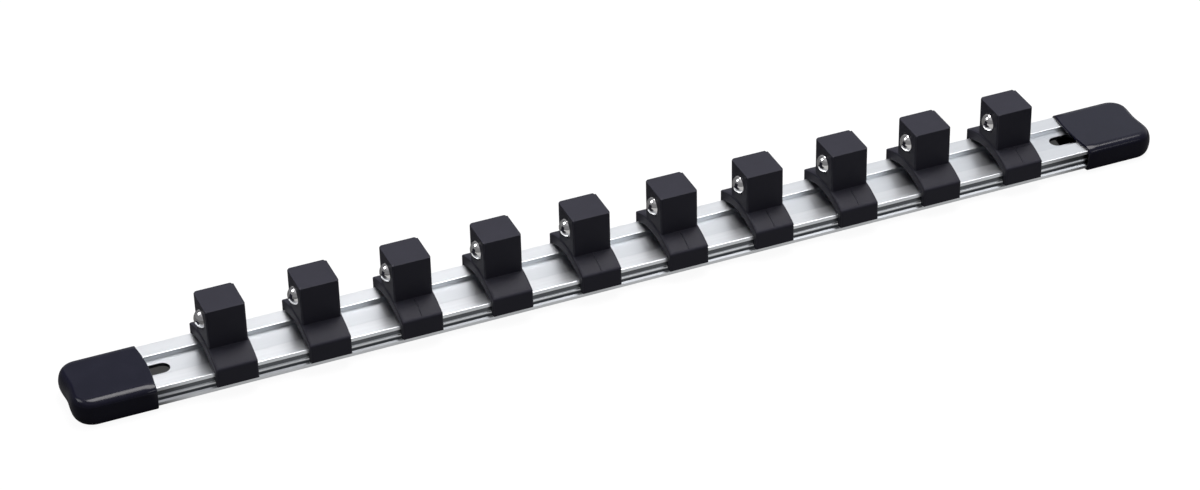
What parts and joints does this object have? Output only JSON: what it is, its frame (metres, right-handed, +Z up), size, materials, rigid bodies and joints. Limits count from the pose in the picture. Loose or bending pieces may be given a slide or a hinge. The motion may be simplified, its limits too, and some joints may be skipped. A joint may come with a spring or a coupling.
{
  "type": "socket rail",
  "caption": "Aluminium rail with sliding plastic clips that hold sockets on square posts with sprung balls, closed by soft end caps.",
  "frame": {"origin": "middle of the rail's length and width, on the plane that the caps' undersides rest on", "axes": "+X along the rail, +Y across it, +Z up out of the deck, towards the posts' tops"},
  "size_m": [0.3714, 0.028, 0.0265],
  "materials": {
    "rail": "brushed",
    "cap": "gloss",
    "clip": "matte",
    "ball": "polished",
    "spring": "drawn"
  },
  "bodies": {
    "rail": {"rail": "rail"},
    "end_cap_left": {"end_cap_left": "cap"},
    "end_cap_right": {"end_cap_right": "cap"},
    "clip_01": {"clip_01": "clip", "spring_01": "spring"},
    "ball_01": {"ball_01": "ball"},
    "clip_02": {"clip_02": "clip", "spring_02": "spring"},
    "ball_02": {"ball_02": "ball"},
    "clip_03": {"clip_03": "clip", "spring_03": "spring"},
    "ball_03": {"ball_03": "ball"},
    "clip_04": {"clip_04": "clip", "spring_04": "spring"},
    "ball_04": {"ball_04": "ball"},
    "clip_05": {"clip_05": "clip", "spring_05": "spring"},
    "ball_05": {"ball_05": "ball"},
    "clip_06": {"clip_06": "clip", "spring_06": "spring"},
    "ball_06": {"ball_06": "ball"},
    "clip_07": {"clip_07": "clip", "spring_07": "spring"},
    "ball_07": {"ball_07": "ball"},
    "clip_08": {"clip_08": "clip", "spring_08": "spring"},
    "ball_08": {"ball_08": "ball"},
    "clip_09": {"clip_09": "clip", "spring_09": "spring"},
    "ball_09": {"ball_09": "ball"},
    "clip_10": {"clip_10": "clip", "spring_10": "spring"},
    "ball_10": {"ball_10": "ball"}
  },
  "joints": [
    {"name": "end_cap_left_pull", "type": "slide", "parent": "rail", "child": "end_cap_left", "axis": [-1, 0, 0], "range_m": [0, 0.018]},
    {"name": "end_cap_right_pull", "type": "slide", "parent": "rail", "child": "end_cap_right", "axis": [1, 0, 0], "range_m": [0, 0.018]},
    {"name": "clip_01_slide", "type": "slide", "parent": "rail", "child": "clip_01", "axis": [1, 0, 0], "range_m": [-0.0174, 0.0076]},
    {"name": "clip_02_slide", "type": "slide", "parent": "rail", "child": "clip_02", "axis": [1, 0, 0], "range_m": [-0.0076, 0.0076]},
    {"name": "clip_03_slide", "type": "slide", "parent": "rail", "child": "clip_03", "axis": [1, 0, 0], "range_m": [-0.0076, 0.0076]},
    {"name": "clip_04_slide", "type": "slide", "parent": "rail", "child": "clip_04", "axis": [1, 0, 0], "range_m": [-0.0076, 0.0076]},
    {"name": "clip_05_slide", "type": "slide", "parent": "rail", "child": "clip_05", "axis": [1, 0, 0], "range_m": [-0.0076, 0.0076]},
    {"name": "clip_06_slide", "type": "slide", "parent": "rail", "child": "clip_06", "axis": [1, 0, 0], "range_m": [-0.0076, 0.0076]},
    {"name": "clip_07_slide", "type": "slide", "parent": "rail", "child": "clip_07", "axis": [1, 0, 0], "range_m": [-0.0076, 0.0076]},
    {"name": "clip_08_slide", "type": "slide", "parent": "rail", "child": "clip_08", "axis": [1, 0, 0], "range_m": [-0.0076, 0.0076]},
    {"name": "clip_09_slide", "type": "slide", "parent": "rail", "child": "clip_09", "axis": [1, 0, 0], "range_m": [-0.0076, 0.0076]},
    {"name": "clip_10_slide", "type": "slide", "parent": "rail", "child": "clip_10", "axis": [1, 0, 0], "range_m": [-0.0076, 0.0174]},
    {"name": "ball_01_press", "type": "slide", "parent": "clip_01", "child": "ball_01", "axis": [1, 0, 0], "range_m": [0, 0.002], "stiffness_N_per_m": 1500, "springref_m": -0.001, "deforming": ["spring_01"]},
    {"name": "ball_02_press", "type": "slide", "parent": "clip_02", "child": "ball_02", "axis": [1, 0, 0], "range_m": [0, 0.002], "stiffness_N_per_m": 1500, "springref_m": -0.001, "deforming": ["spring_02"]},
    {"name": "ball_03_press", "type": "slide", "parent": "clip_03", "child": "ball_03", "axis": [1, 0, 0], "range_m": [0, 0.002], "stiffness_N_per_m": 1500, "springref_m": -0.001, "deforming": ["spring_03"]},
    {"name": "ball_04_press", "type": "slide", "parent": "clip_04", "child": "ball_04", "axis": [1, 0, 0], "range_m": [0, 0.002], "stiffness_N_per_m": 1500, "springref_m": -0.001, "deforming": ["spring_04"]},
    {"name": "ball_05_press", "type": "slide", "parent": "clip_05", "child": "ball_05", "axis": [1, 0, 0], "range_m": [0, 0.002], "stiffness_N_per_m": 1500, "springref_m": -0.001, "deforming": ["spring_05"]},
    {"name": "ball_06_press", "type": "slide", "parent": "clip_06", "child": "ball_06", "axis": [1, 0, 0], "range_m": [0, 0.002], "stiffness_N_per_m": 1500, "springref_m": -0.001, "deforming": ["spring_06"]},
    {"name": "ball_07_press", "type": "slide", "parent": "clip_07", "child": "ball_07", "axis": [1, 0, 0], "range_m": [0, 0.002], "stiffness_N_per_m": 1500, "springref_m": -0.001, "deforming": ["spring_07"]},
    {"name": "ball_08_press", "type": "slide", "parent": "clip_08", "child": "ball_08", "axis": [1, 0, 0], "range_m": [0, 0.002], "stiffness_N_per_m": 1500, "springref_m": -0.001, "deforming": ["spring_08"]},
    {"name": "ball_09_press", "type": "slide", "parent": "clip_09", "child": "ball_09", "axis": [1, 0, 0], "range_m": [0, 0.002], "stiffness_N_per_m": 1500, "springref_m": -0.001, "deforming": ["spring_09"]},
    {"name": "ball_10_press", "type": "slide", "parent": "clip_10", "child": "ball_10", "axis": [1, 0, 0], "range_m": [0, 0.002], "stiffness_N_per_m": 1500, "springref_m": -0.001, "deforming": ["spring_10"]}
  ]
}
